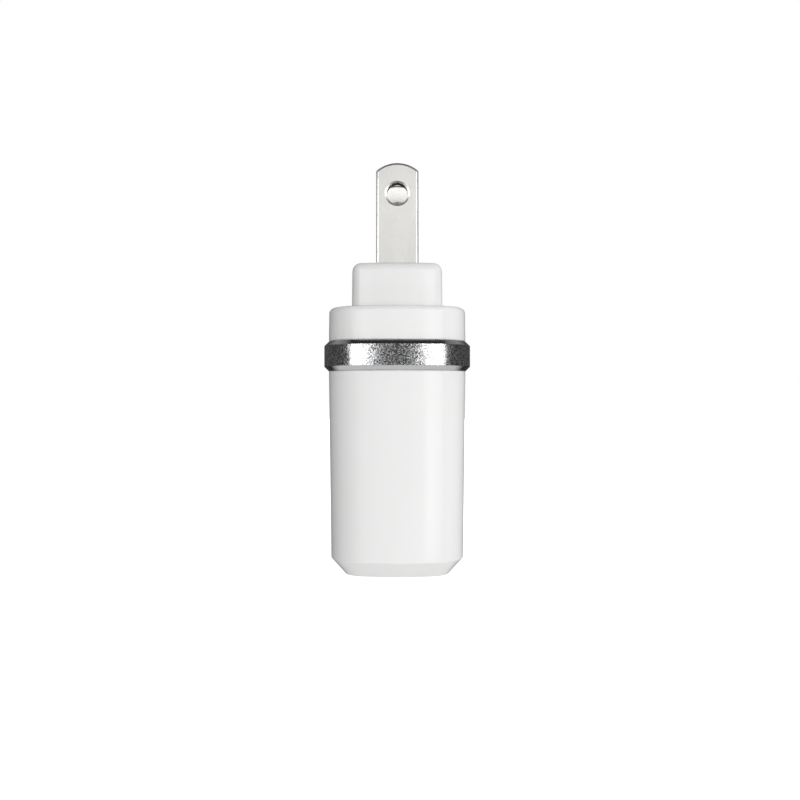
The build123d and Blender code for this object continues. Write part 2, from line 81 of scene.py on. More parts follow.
def share(name, description, value):
    """A property that runs from nought to one."""
    return FloatProperty(
        name=name, description=description, default=value, min=0, max=1, subtype="FACTOR"
    )


class ChargerCase(bpy.types.PropertyGroup):
    """Shape of the housing, the cap and the ring, beyond what the frame gives."""

    side_crown: length("Side crown", "Plan radius of the two wide faces", 300)
    end_crown: length("End crown", "Plan radius of the two narrow faces", 30)
    neck_crown: length("Neck crown", "Plan radius of the neck's narrow faces", 30)
    corner: length("Case corner", "Plan radius of the case's corners", 5.2)
    neck_corner: length("Neck corner", "Plan radius of the neck's corners", 1.5)
    neck_ledge: length("Neck ledge", "How far the neck stands in from the case", 3.25)
    draft: FloatProperty(
        name="Draft",
        description="Slope of the moulded walls",
        default=math.radians(0.75),
        subtype="ANGLE",
    )
    foot_bevel: length("Foot bevel", "How far the bevel round the foot cuts in", 2.0)
    foot_bevel_height: length("Foot bevel height", "How far up the bevel round the foot goes", 2.3)
    foot_round: length("Foot rounding", "Rounding of the foot bevel's two edges", 0.3)
    wall: length("Wall", "Thickness of the housing wall", 1.7)
    floor: length("Foot thickness", "Thickness of the socket face", 2.0)
    lip: length("Lip", "Thickness of the rim where the ring sits", 1.2)
    seam_round: length("Seam rounding", "Rounding of the plastic edges at the ring", 0.22)
    shoulder_height: length("Shoulder height", "From the ring to the shoulder", 4.7)
    shoulder_round: length("Shoulder rounding", "Rounding of the shoulder's edge", 0.7)
    neck_round: length("Neck rounding", "Rounding of the neck's top edge", 1.2)
    face: length("Face thickness", "Thickness of the neck's top", 3.0)
    seam_gap: length("Seam gap", "Clearance between the skirt and the lip", 0.1)
    skirt_wall: length("Skirt wall", "Thickness of the cap's skirt", 1.3)
    shoulder_roof: length("Shoulder roof", "Thickness of the shoulder's top", 1.8)
    neck_wall: length("Neck wall", "Thickness of the neck's wall", 2.0)
    cavity_corner: length("Cavity corner", "Plan radius inside the neck's corners", 0.6)
    boss: length("Boss", "Diameter of a screw boss", 3.6)
    boss_height: length("Boss height", "Height of a screw boss", 2.0)
    screw_head: length("Screw head", "Diameter of a retainer screw's head", 3.0)
    rail: length("Rail", "Thickness of a board rail", 0.8)
    rail_height: length("Rail height", "Height of a board rail", 6.5)
    rail_gap: length("Rail gap", "Clearance round the upright board", 0.1)
    rail_bite: length("Rail bite", "How far a rail laps the board", 0.4)
    slot_gap: length("Slot gap", "Clearance round a blade in its slot", 0.05)
    port_gap: length("Port gap", "Clearance round a receptacle in its opening", 0.15)
    port_corner: length("Port corner", "Plan radius of the socket openings' corners", 0.75)
    port_round: length("Port lead-in", "Rounding of the socket openings' edges", 0.25)
    ring_proud: length("Ring stand-out", "How far the ring stands out of the case", 0.65)
    ring_bevel: length("Ring bevel", "Width of the ring's cut bevels", 0.6)
    ring_edge: length("Ring edge", "Rounding of the ring's cut edges", 0.06)
    rounding_steps: IntProperty(
        name="Rounding steps", description="Faces across a rounded edge", default=5, min=2, max=12
    )


class ChargerBlade(bpy.types.PropertyGroup):
    """Shape of the blades, beyond what the frame gives."""

    width: length("Width", "Width of a blade outside the case", 6.35)
    tip_radius: length("Tip radius", "Radius of the tip's arc", 4.8)
    hole: length("Hole", "Diameter of the lock hole", 3.18)
    hole_from_tip: length("Hole from tip", "From the tip to the hole's centre", 4.6)
    hole_bevel: length("Hole bevel", "Width of the coined bevel round the hole's rims", 0.3)
    hole_bevel_depth: length("Hole bevel depth", "Depth of that bevel", 0.05)
    edge_bevel: length("Edge bevel", "Bevel of the blade's outline", 0.33)
    flange: length("Flange", "Width of the flange behind the neck's top", 8.0)
    flange_height: length("Flange height", "Height of that flange", 2.0)
    tail: length("Tail", "Width of the contact tail", 4.0)


class ChargerFinish(bpy.types.PropertyGroup):
    """Colours and gloss of the finishes."""

    plastic: colour("Case plastic", "White case plastic", (0.88, 0.88, 0.875))
    plastic_roughness: share("Case roughness", "Roughness of the case plastic", 0.13)
    ring: colour("Ring metal", "Blasted aluminium", (0.72, 0.725, 0.735))
    ring_roughness: share("Ring roughness", "Roughness of the blasted band", 0.24)
    blade: colour("Blade metal", "Nickel plate", (0.80, 0.79, 0.77))
    blade_roughness: share("Blade roughness", "Roughness of the nickel plate", 0.22)
    board: colour("Solder mask", "Green of the boards", (0.02, 0.14, 0.05))
    gold: colour("Gold flash", "Contacts and pins", (0.83, 0.62, 0.25))


class ChargerStage(bpy.types.PropertyGroup):
    """Camera, floor and lights."""

    camera_distance: length("Camera distance", "From the charger's axis to the lens", 126.7)
    camera_height: length("Camera height", "From the floor to the lens", 24.42)
    camera_side: length("Camera side step", "How far right of the axis the lens stands", 0.4)
    focal_length: FloatProperty(name="Focal length", description="Lens, in mm", default=36.0)
    floor_size: length("Floor size", "Side of the floor", 12000)
    light_distance: length("Light distance", "From the charger's middle to each light", 800)
    light_height: length("Light height", "From the floor to the point that the lights face", 30)
    floor_colour: colour("Floor", "Pale floor", (0.9, 0.9, 0.9))
    floor_glow: share("Floor glow", "Light of its own that keeps the floor even", 0.8)


class Card(NamedTuple):
    """A soft rectangular light: degrees round and up from the lens, then metres and strength."""

    name: str
    azimuth: float
    elevation: float
    width: float
    height: float
    strength: float
    receivers: str = ""
    in_reflections: bool = True
    in_soft_light: bool = True


# Pieces that some of the lights are kept for
LIT_TOGETHER = {
    "metal": ("ring_band", "plated_blade_line", "plated_blade_neutral"),
    "cap_front": ("cap_shell",),
    "blades": ("plated_blade_line", "plated_blade_neutral"),
    "rear_blade": ("plated_blade_neutral",),
    "mouldings": ("housing_shell", "cap_shell"),
}
CARDS = (
    Card("strip_left", -28, 2, 0.3, 0.5, 3.1, "metal", in_soft_light=False),
    Card("strip_right", 28, 2, 0.32, 0.5, 2.05),
    Card("strip_right_metal", 29, 2, 0.35, 0.5, 1.1, "metal", in_soft_light=False),
    Card("strip_cap", -27, 2, 0.31, 0.5, 1.2, "cap_front", in_soft_light=False),
    Card("card_blades", 0, 15, 0.5, 0.24, 0.96, "blades"),
    Card("card_rear_blade", 0, 15, 0.24, 0.24, 14.0, "rear_blade", in_soft_light=False),
    Card("card_blade_left", -95, 8, 0.9, 0.5, 0.45, "blades"),
    Card("card_blade_right", 95, 8, 0.9, 0.5, 0.6, "blades"),
    Card("card_front", 0, 0, 0.66, 0.6, 1.48, "mouldings"),
    Card("card_low", 0, -32, 0.7, 0.14, 3.0, "mouldings", in_soft_light=False),
    Card("fill_right_front", 45, 10, 0.5, 0.5, 1.15, in_reflections=False),
    Card("fill_right", 90, 15, 0.5, 0.5, 2.0, in_reflections=False),
    Card("fill_left", -90, 15, 0.5, 0.5, 0.5, in_reflections=False),
    Card("fill_back", 180, 25, 0.8, 0.8, 2.0, in_reflections=False),
    Card("fill_top", 0, 75, 0.8, 0.8, 0.4, in_reflections=False),
    Card("fill_below", 0, -60, 0.8, 0.8, 0.95, in_reflections=False),
)
SOFT_SURROUND = (0.3, 0.3, 0.3)  # the surroundings' even light on dull surfaces
# How bright the surroundings look in reflections, from straight down at 0 to straight up at 1
REFLECTED_BANDS = (
    (0.0, 0.68),
    (0.13, 0.62),
    (0.24, 0.02),
    (0.5, 0.07),
    (0.72, 0.09),
    (0.84, 0.28),
    (0.93, 0.2),
    (0.965, 0.03),
)
GROUPS = {
    "charger_case": ChargerCase,
    "charger_blade": ChargerBlade,
    "charger_finish": ChargerFinish,
    "charger_stage": ChargerStage,
}


# ---------------------------------------------------------------- materials


class Flow:
    """A node's output that Python's operators work on: each operator adds its Math node."""

    def __init__(self, nodes, socket):
        self.nodes = nodes
        self.socket = socket

    def math(self, operation, *terms):
        """The Math node of that operation on these terms."""
        return self.nodes.add("ShaderNodeMath", {"operation": operation}, dict(enumerate(terms)))

    def __add__(self, other):
        return self.math("ADD", self, other)

    def __radd__(self, other):
        return self.math("ADD", other, self)

    def __sub__(self, other):
        return self.math("SUBTRACT", self, other)

    def __rsub__(self, other):
        return self.math("SUBTRACT", other, self)

    def __mul__(self, other):
        return self.math("MULTIPLY", self, other)

    def __rmul__(self, other):
        return self.math("MULTIPLY", other, self)


class Nodes:
    """A node tree whose nodes are added by calls."""

    def __init__(self, tree):
        self.tree = tree

    def add(self, kind, settings=None, inputs=None, output=0):
        """Adds a node of that type: its settings first, then its sockets' values or links."""
        node = self.tree.nodes.new(kind)
        for key, value in (settings or {}).items():
            if key == "stops":
                self.fill_ramp(node.color_ramp, value)
            elif key == "interpolation":
                node.color_ramp.interpolation = value
            else:
                setattr(node, key, value)
        for key, value in (inputs or {}).items():
            if isinstance(value, Flow):
                self.tree.links.new(value.socket, node.inputs[key])
            else:
                node.inputs[key].default_value = value
        return Flow(self, node.outputs[output])

    @staticmethod
    def fill_ramp(ramp, stops):
        """Gives a ramp its stops of (position, colour)."""
        while len(ramp.elements) < len(stops):
            ramp.elements.new(1.0)
        for element, (position, shade) in zip(ramp.elements, stops):
            element.position = position
            element.color = (*shade, 1.0)

    def blend(self, factor, low, high):
        """A colour between two colours."""
        inputs = {0: factor, 6: self.rgba(low), 7: self.rgba(high)}
        return self.add("ShaderNodeMix", {"data_type": "RGBA"}, inputs, 2)

    @staticmethod
    def rgba(value):
        """A colour socket's value, or a link as it is."""
        return value if isinstance(value, Flow) else (*value[:3], 1.0)

    def remap(self, value, low, high, to_low=0.0, to_high=1.0):
        """A value moved from one range to another and held inside it."""
        inputs = {0: value, 1: low, 2: high, 3: to_low, 4: to_high}
        return self.add("ShaderNodeMapRange", None, inputs)


class Finish(Nodes):
    """One material, with its shader's constants set by name."""

    def __init__(self, name, **constants):
        self.material = bpy.data.materials.new(name)
        self.material.use_nodes = True
        super().__init__(self.material.node_tree)
        self.shader = self.tree.nodes["Principled BSDF"]
        for socket, value in constants.items():
            self.shader.inputs[socket.replace("_", " ")].default_value = value

    def place(self, scale=(1, 1, 1), turn=(0, 0, 0)):
        """Object coordinates in metres, turned and scaled."""
        coordinates = self.add("ShaderNodeTexCoord", output="Object")
        inputs = {"Vector": coordinates, "Rotation": turn, "Scale": scale}
        return self.add("ShaderNodeMapping", None, inputs)

    def axis(self, name):
        """One axis of the object coordinates, in metres."""
        coordinates = self.add("ShaderNodeTexCoord", output="Object")
        return self.add("ShaderNodeSeparateXYZ", None, {"Vector": coordinates}, name)

    def noise(self, grain, detail, stretch=(1, 1, 1), roughness=0.5):
        """Noise between nought and one whose grain is that many metres across."""
        inputs = {
            "Vector": self.place(stretch),
            "Scale": 1 / grain,
            "Detail": detail,
            "Roughness": roughness,
        }
        return self.add("ShaderNodeTexNoise", None, inputs)

    def bump(self, height, depth, strength):
        """A Bump node on a height between nought and one that is that many metres deep."""
        inputs = {"Strength": strength, "Distance": depth, "Height": height}
        return self.add("ShaderNodeBump", None, inputs)

    def feed(self, **links):
        """Links values into the shader's own sockets, and gives the material."""
        for socket, value in links.items():
            self.tree.links.new(value.socket, self.shader.inputs[socket.replace("_", " ")])
        return self.material


def tint(value, factor):
    """A colour made lighter or darker."""
    return tuple(min(1.0, channel * factor) for channel in value[:3])


def polished_plastic(finish):
    """White case plastic, shared by the housing and the cap: flow clouding, flecks and peel."""
    name = "polished_white_plastic"
    if name in bpy.data.materials:
        return bpy.data.materials[name]
    white = tuple(finish.plastic)
    made = Finish(name, IOR=1.46, Specular_IOR_Level=0.5)
    cloud = made.noise(9 * MM, 2.0, (1, 1, 0.45))
    fleck = made.noise(0.12 * MM, 2.0)
    shade = made.blend(made.remap(cloud, 0.3, 0.7), tint(white, 0.985), tint(white, 1.008))
    shade = made.blend(made.remap(fleck, 0.66, 0.8, 0.0, 0.05), shade, tint(white, 0.8))
    gloss = made.noise(2.5 * MM, 4.0)
    peel = made.noise(0.9 * MM, 2.0)
    base = finish.plastic_roughness
    rough = made.remap(gloss, 0.3, 0.7, base * 0.9, base * 1.15)
    normal = made.bump(peel, 0.0022 * MM, 0.5)
    return made.feed(Base_Color=shade, Roughness=rough, Normal=normal)


def matt_plastic(name, base, roughness=0.55):
    """Spark-textured inner moulding."""
    made = Finish(name, IOR=1.5)
    spark = made.noise(0.05 * MM, 3.0)
    cloud = made.noise(2.0 * MM, 2.0)
    shade = made.blend(made.remap(cloud, 0.3, 0.7), tint(base, 0.92), tint(base, 1.06))
    rough = made.remap(spark, 0.3, 0.7, roughness - 0.08, roughness + 0.1)
    return made.feed(Base_Color=shade, Roughness=rough, Normal=made.bump(spark, 0.004 * MM, 0.6))


def blasted_aluminium(finish):
    """Bead-blasted and clear-anodised band: overlapping tiny dimples that sparkle, with a grain
    speckle in the colour that is partly painted sparkle.
    """
    metal = tuple(finish.ring)
    made = Finish("blasted_aluminium", Metallic=1.0)
    dimples = made.noise(0.2 * MM, 1.0, roughness=0.4)
    grain = made.noise(0.22 * MM, 1.0)
    speck = made.remap(grain, 0.38, 0.62)
    # grain speckle, partly real grain and partly painted sparkle: bright and dark grains stand in
    # for the dimples' glints
    shade = made.blend(speck, tint(metal, 0.48), tint(metal, 1.35))
    base = finish.ring_roughness
    rough = made.remap(grain, 0.3, 0.7, base - 0.05, base + 0.05)
    normal = made.bump(dimples * 0.4 + grain * 0.6, 0.012 * MM, 1.0)
    return made.feed(Base_Color=shade, Roughness=rough, Normal=normal)


def cut_aluminium(finish):
    """Diamond-cut bevel: bright, with fine tool lines that run round the ring."""
    metal = tuple(finish.ring)
    made = Finish("cut_aluminium", Metallic=1.0)
    lines = made.noise(0.6 * MM, 3.0, (0.4, 0.4, 26))
    shade = made.blend(made.remap(lines, 0.3, 0.7), tint(metal, 0.93), tint(metal, 1.05))
    rough = made.remap(lines, 0.3, 0.7, 0.08, 0.15)
    return made.feed(Base_Color=shade, Roughness=rough, Normal=made.bump(lines, 0.001 * MM, 0.5))


def nickel_plate(finish):
    """Bright nickel over rolled brass strip: long rolling lines and a few faint insertion marks."""
    metal = tuple(finish.blade)
    made = Finish("nickel_plate", Metallic=1.0)
    rolling = made.noise(0.5 * MM, 4.0, (14, 14, 0.35))
    cloud = made.noise(3.0 * MM, 2.0, (1, 1, 0.5))
    marks = made.noise(0.8 * MM, 2.0, (9, 9, 0.6))
    scuff = made.remap(marks, 0.66, 0.74)
    shade = made.blend(made.remap(cloud, 0.3, 0.7), tint(metal, 0.96), tint(metal, 1.03))
    shade = made.blend(scuff * 0.35, shade, tint(metal, 0.86))
    base = finish.blade_roughness
    rough = made.remap(rolling, 0.3, 0.7, base - 0.04, base + 0.06) + scuff * 0.08
    return made.feed(Base_Color=shade, Roughness=rough, Normal=made.bump(rolling, 0.0016 * MM, 0.5))


def punched_wall():
    """The torn wall of a punched hole, dull and dark beside the plating: its near-black colour is
    painted shade for the shadow inside the hole.
    """
    made = Finish("punched_wall", Metallic=1.0)
    tears = made.noise(0.12 * MM, 3.0, (1, 0.15, 1))
    # painted shade: near-black colours stand for the shadow inside the lock hole
    shade = made.blend(made.remap(tears, 0.35, 0.7), (0.025, 0.024, 0.022), (0.07, 0.065, 0.06))
    rough = made.remap(tears, 0.3, 0.7, 0.4, 0.6)
    return made.feed(Base_Color=shade, Roughness=rough, Normal=made.bump(tears, 0.02 * MM, 0.8))


def rolled_metal(name, base, roughness, stretch=(1, 1, 18)):
    """Sheet metal or wire with faint drawing lines and tarnish."""
    made = Finish(name, Metallic=1.0)
    lines = made.noise(0.3 * MM, 3.0, stretch)
    tarnish = made.noise(1.8 * MM, 3.0)
    shade = made.blend(made.remap(tarnish, 0.35, 0.7), tint(base, 1.05), tint(base, 0.82))
    rough = made.remap(lines, 0.3, 0.7, roughness - 0.05, roughness + 0.08)
    return made.feed(Base_Color=shade, Roughness=rough, Normal=made.bump(lines, 0.0015 * MM, 0.6))


def circuit_board(finish):
    """Green solder mask over routed copper, with the glass weave just showing."""
    mask = tuple(finish.board)
    made = Finish("solder_mask", IOR=1.5, Coat_Roughness=0.12)
    tracks = made.add(
        "ShaderNodeTexBrick",
        {"offset": 0.35, "squash": 0.7},
        {
            "Vector": made.place(turn=(0, math.radians(90), math.radians(90))),
            "Scale": 1 / (2.4 * MM),
            "Mortar Size": 0.03,
            "Mortar Smooth": 0.1,
            "Brick Width": 0.9,
            "Row Height": 0.35,
        },
        "Fac",
    )
    weave = made.noise(0.35 * MM, 1.0, (1, 3, 1))
    shade = made.blend(tracks, tint(mask, 0.75), tint(mask, 1.7))
    shade = made.blend(made.remap(weave, 0.4, 0.6, 0.0, 0.25), shade, tint(mask, 1.3))
    rough = made.remap(weave, 0.3, 0.7, 0.28, 0.4)
    normal = made.bump(1 - tracks, 0.03 * MM, 0.4)
    return made.feed(Base_Color=shade, Roughness=rough, Normal=normal)


def banded(node, name, base, bands, roughness=0.4):
    """A coated part with rings of colour, each from one share of its length to another."""
    low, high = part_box(node)
    made = Finish(name, IOR=1.5)
    along = made.remap(made.axis("Y"), low.y, high.y)
    stops = [(0.0, base)]
    for start, end, shade in bands:
        stops += [(start, shade), (end, base)]
    shade = made.add(
        "ShaderNodeValToRGB", {"stops": stops, "interpolation": "CONSTANT"}, {0: along}
    )
    lump = made.noise(0.6 * MM, 2.0)
    fine = made.noise(0.15 * MM, 2.0)
    shade = made.blend(made.remap(fine, 0.35, 0.7, 0.0, 0.2), shade, tint(base, 0.8))
    rough = made.remap(fine, 0.3, 0.7, roughness - 0.08, roughness + 0.08)
    return made.feed(Base_Color=shade, Roughness=rough, Normal=made.bump(lump, 0.02 * MM, 0.5))


def wound_copper():
    """Enamelled wire laid turn by turn, painted dark in the grooves between turns and light on
    their crests.
    """
    made = Finish("wound_copper", Metallic=0.9)
    height = made.axis("Z")
    pitch = 0.16 * MM
    wave = height.math("SINE", height * (math.tau / pitch))
    wander = made.noise(0.8 * MM, 2.0)
    turns_and_painted_shade = made.remap(wave, -1.0, 1.0)
    # painted shade and painted highlight: each turn's colour runs from dark in the groove to bright
    # on the crest
    shade = made.blend(turns_and_painted_shade, (0.3, 0.09, 0.03), (0.78, 0.36, 0.16))
    shade = made.blend(made.remap(wander, 0.35, 0.7, 0.0, 0.4), shade, (0.5, 0.2, 0.08))
    rough = made.remap(wander, 0.3, 0.7, 0.28, 0.42)
    return made.feed(Base_Color=shade, Roughness=rough, Normal=made.bump(turns_and_painted_shade, 0.05 * MM, 0.8))


def sintered(name, base, speck, grain=0.09 * MM, roughness=0.6):
    """Pressed and fired material with a fine open grain."""
    made = Finish(name, IOR=1.6)
    grit = made.noise(grain, 4.0, roughness=0.65)
    patch = made.noise(1.4 * MM, 2.0)
    shade = made.blend(made.remap(grit, 0.4, 0.66), base, speck)
    shade = made.blend(made.remap(patch, 0.35, 0.7, 0.0, 0.3), shade, tint(base, 1.25))
    rough = made.remap(grit, 0.3, 0.7, roughness - 0.1, roughness + 0.12)
    return made.feed(Base_Color=shade, Roughness=rough, Normal=made.bump(grit, 0.012 * MM, 0.7))


def clear_film(name, base):
    """Thin translucent film with slight waviness."""
    made = Finish(name, IOR=1.55, Transmission_Weight=0.35)
    wave = made.noise(3.0 * MM, 2.0)
    haze = made.noise(0.2 * MM, 2.0)
    shade = made.blend(made.remap(haze, 0.3, 0.7), tint(base, 0.94), tint(base, 1.05))
    rough = made.remap(wave, 0.3, 0.7, 0.2, 0.35)
    return made.feed(Base_Color=shade, Roughness=rough, Normal=made.bump(wave, 0.03 * MM, 0.5))


# ---------------------------------------------------------------- shaping helpers


class Oblong:
    """A plan outline with bowed sides and rounded corners that a profile can be carried round."""

    def __init__(
        self, half_x, half_y, side_crown, end_crown, corner, bow_steps=12, corner_steps=18
    ):
        self.half_x = half_x
        self.half_y = half_y
        self.bow_steps = bow_steps
        self.corner_steps = corner_steps
        self.side = half_x - side_crown
        self.end = half_y - end_crown
        self.side_crown = side_crown
        self.end_crown = end_crown
        self.corner = self.meeting(side_crown - corner, end_crown - corner)

    def meeting(self, side_reach, end_reach):
        """Where circles of these radii round the side's and the end's centres meet, beyond both."""
        between = complex(-self.side, self.end)
        apart = abs(between)
        along = (side_reach**2 - end_reach**2 + apart**2) / (2 * apart)
        across = math.sqrt(side_reach**2 - along**2)
        point = self.side + complex(along, across) * between / apart
        return point.real, point.imag

    def arcs(self):
        """Each arc of the outline, once round from +X: its centre, its angle and its steps."""
        x, y = self.corner
        first = math.atan2(y, x - self.side)
        last = math.atan2(y - self.end, x)
        side = (self.side, 0)
        turn = (last - first, self.corner_steps)
        across = (math.pi - 2 * last, 2 * self.bow_steps)
        return (
            (side, first, self.bow_steps),
            ((x, y), *turn),
            ((0, self.end), *across),
            ((-x, y), *turn),
            ((-self.side, 0), 2 * first, 2 * self.bow_steps),
            ((-x, -y), *turn),
            ((0, -self.end), *across),
            ((x, -y), *turn),
            (side, first, self.bow_steps),
        )

    def inner(self, inset, corner):
        """The outline an even inset further in, with corners of its own."""
        return Oblong(
            self.half_x - inset,
            self.half_y - inset,
            self.side_crown - inset,
            self.end_crown - inset,
            corner,
        )

    def carry(self, mesh, profile, steps, centre_y=0.0):
        """Carries a profile of (inset, height, rounding) once round the outline."""
        older = {*mesh.verts, *mesh.edges}
        corners = [
            mesh.verts.new((self.half_x - inset, centre_y, height)) for inset, height, _ in profile
        ]
        for pair in zip(corners, corners[1:]):
            mesh.edges.new(pair)
        for corner, (inset, height, rounding) in zip(corners, profile):
            if rounding:
                self.round_off(mesh, corner, rounding, steps)
        spun = [item for item in (*mesh.verts, *mesh.edges) if item not in older]
        for (x, y), angle, count in self.arcs():
            turned = bmesh.ops.spin(
                mesh,
                geom=spun,
                cent=(x, y + centre_y, 0),
                axis=(0, 0, 1),
                angle=angle,
                steps=count,
                use_merge=False,
                use_duplicate=False,
            )
            spun = turned["geom_last"]
        bmesh.ops.remove_doubles(mesh, verts=mesh.verts, dist=WELD)

    @staticmethod
    def round_off(mesh, corner, rounding, steps):
        """Rounds one corner of a profile."""
        back, ahead = (edge.other_vert(corner).co - corner.co for edge in corner.link_edges)
        bmesh.ops.bevel(
            mesh,
            geom=[corner],
            offset=rounding / math.tan(back.angle(ahead) / 2),
            offset_type="OFFSET",
            segments=steps,
            profile=0.5,
            affect="VERTICES",
            material=-1,
        )


def close_flat(mesh, axis, place):
    """Closes a face square to an axis, leaving the openings inside it."""
    edges = [
        edge
        for edge in mesh.edges
        if edge.is_boundary and all(abs(vertex.co[axis] - place) < WELD for vertex in edge.verts)
    ]
    bmesh.ops.triangle_fill(mesh, edges=edges, use_beauty=True, normal=Matrix.Identity(3)[axis])


def brick(mesh, low, high):
    """A small block between two corners."""
    middle = (Vector(low) + Vector(high)) / 2
    size = Matrix.Diagonal((*(Vector(high) - Vector(low)), 1))
    bmesh.ops.create_cube(mesh, size=1, matrix=Matrix.Translation(middle) @ size)


def stub(mesh, centre, radius, low, high):
    """A short upright post."""
    place = Matrix.Translation((*centre, (low + high) / 2))
    bmesh.ops.create_cone(
        mesh,
        cap_ends=True,
        segments=32,
        radius1=radius,
        radius2=radius,
        depth=high - low,
        matrix=place,
    )


def finish_piece(mesh, name, materials, nodes):
    """Turns a bmesh into a piece that rides on the body and stands for its CAD nodes."""
    bmesh.ops.recalc_face_normals(mesh, faces=mesh.faces)
    for face in mesh.faces:
        face.smooth = len(face.verts) == 4  # the flat faces are the ones filled with triangles
    for edge in mesh.edges:
        edge.smooth = edge.calc_face_angle(0) < SHARP
    data = bpy.data.meshes.new(name)
    mesh.to_mesh(data)
    mesh.free()
    for material in materials:
        data.materials.append(material)
    piece = bpy.data.objects.new(name, data)
    bpy.context.scene.collection.objects.link(piece)
    weighted = piece.modifiers.new("weighted_normals", "WEIGHTED_NORMAL")
    weighted.weight = 100
    weighted.keep_sharp = True
    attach(piece, BODY)
    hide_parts(*nodes)


def dress(node, material):
    """Gives a CAD node's object one material."""
    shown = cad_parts[node]
    shown.data.materials.clear()
    shown.data.materials.append(material)


def case_plan(case):
    """The case's plan outline at the seam between the housing and the ring."""
    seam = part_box("rear_housing")[1]
    return Oblong(seam.x, seam.y, case.side_crown, case.end_crown, case.corner)


# ---------------------------------------------------------------- operators


class CHARGER_OT_housing(bpy.types.Operator):
    """Builds the drafted housing with its bevelled foot, board rails and two socket openings"""

    bl_idname = "charger.housing"
    bl_label = "Housing"

    FOOT_BAND = 2.0  # width of the foot's outer flat band, in roundings of its edge
    PORT_BAND = 1.5  # width of the flat band round an opening, in roundings of its edge

    def execute(self, context):
        case = context.scene.charger_case
        steps = case.rounding_steps
        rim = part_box("rear_housing")[1].z
        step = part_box("front_cap")[0].z - case.seam_gap
        slope = math.tan(case.draft)
        foot = rim * slope + case.foot_bevel
        profile = (
            (foot + self.FOOT_BAND * case.foot_round, 0, 0),
            (foot, 0, case.foot_round),
            ((rim - case.foot_bevel_height) * slope, case.foot_bevel_height, case.foot_round),
            (0, rim, case.seam_round),
            (case.lip, rim, 0),
            (case.lip, step, 0),
            (case.wall + (rim - step) * slope, step, 0),
            (case.wall + (rim - case.floor) * slope, case.floor, 0),
        )
        mesh = bmesh.new()
        case_plan(case).carry(mesh, profile, steps)
        for node in ("usb_shell_left", "usb_shell_right"):
            self.opening(mesh, case, node, steps)
        close_flat(mesh, Z, 0)
        close_flat(mesh, Z, case.floor)
        self.rails(mesh, case)
        material = polished_plastic(context.scene.charger_finish)
        finish_piece(mesh, "housing_shell", [material], ["rear_housing"])
        return {"FINISHED"}

    def opening(self, mesh, case, node, steps):
        """The walls of a socket opening, with a rounded lead-in."""
        low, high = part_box(node)
        gap = case.port_gap
        half_y = (high.y - low.y) / 2 + gap
        port = Oblong(high.x + gap, half_y, FLAT, FLAT, case.port_corner, 1, 8)
        band = self.PORT_BAND * case.port_round
        profile = ((-band, 0, 0), (0, 0, case.port_round), (0, case.floor, 0))
        port.carry(mesh, profile, steps, (low.y + high.y) / 2)

    @staticmethod
    def rails(mesh, case):
        """Four ribs that the upright board slides down between."""
        low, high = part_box("main_board")
        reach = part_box("rear_housing")[1].y - case.wall
        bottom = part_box("usb_board")[1].z + case.rail_gap
        for side in (-1, 1):
            for face in (low.x - case.rail_gap - case.rail, high.x + case.rail_gap):
                ends = sorted((side * (high.y - case.rail_bite), side * reach))
                brick(
                    mesh,
                    (face, ends[0], bottom),
                    (face + case.rail, ends[1], bottom + case.rail_height),
                )


class CHARGER_OT_cap(bpy.types.Operator):
    """Builds the shoulder, the neck with its two blade slots, and the screw bosses inside"""

    bl_idname = "charger.cap"
    bl_label = "Cap"

    LEDGE_BAND = 0.6  # share of the shoulder's ledge that its outer band takes

    def execute(self, context):
        case = context.scene.charger_case
        steps = case.rounding_steps
        low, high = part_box("front_cap")
        ring_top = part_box("trim_ring")[1].z
        shoulder = ring_top + case.shoulder_height
        slope = math.tan(case.draft)
        plan = case_plan(case)
        neck = Oblong(
            plan.half_x - case.neck_ledge,
            plan.half_y - case.neck_ledge,
            case.side_crown,
            case.neck_crown,
            case.neck_corner,
        )
        roof = shoulder - case.shoulder_roof
        under = high.z - case.face
        skirt = case.lip + case.seam_gap
        mesh = bmesh.new()
        plan.carry(
            mesh,
            (
                (skirt + case.skirt_wall, roof, 0),
                (skirt + case.skirt_wall, low.z, 0),
                (skirt, low.z, 0),
                (skirt, ring_top, 0),
                (0, ring_top, case.seam_round),
                (case.shoulder_height * slope, shoulder, case.shoulder_round),
                (case.neck_ledge * self.LEDGE_BAND, shoulder, 0),
            ),
            steps,
        )
        neck.carry(
            mesh,
            (
                (0, shoulder, 0),
                ((high.z - shoulder) * slope, high.z, case.neck_round),
                ((case.neck_round + case.neck_corner) / 2, high.z, 0),
            ),
            steps,
        )
        cavity = neck.inner(case.neck_wall, case.cavity_corner)
        cavity.carry(mesh, ((0, under, 0), (0, roof, 0)), steps)
        for node in ("blade_line", "blade_neutral"):
            self.slot(mesh, context, node, high.z, under)
        for z in (roof, shoulder, under, high.z):
            close_flat(mesh, Z, z)
        screw_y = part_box("retainer_screws")[1].y - case.screw_head / 2
        for side in (-1, 1):
            stub(mesh, (0, side * screw_y), case.boss / 2, under - case.boss_height, under)
        material = polished_plastic(context.scene.charger_finish)
        finish_piece(mesh, "cap_shell", [material], ["front_cap"])
        return {"FINISHED"}

    @staticmethod
    def slot(mesh, context, node, top, under):
        """The walls of a blade slot through the neck's face."""
        case = context.scene.charger_case
        low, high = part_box(node)
        half_x = context.scene.charger_blade.width / 2 + case.slot_gap
        half_y = (high.y - low.y) / 2 + case.slot_gap
        slot = Oblong(half_x, half_y, FLAT, FLAT, case.slot_gap, 1, 3)
        slot.carry(mesh, ((0, top, 0), (0, under, 0)), 1, (low.y + high.y) / 2)


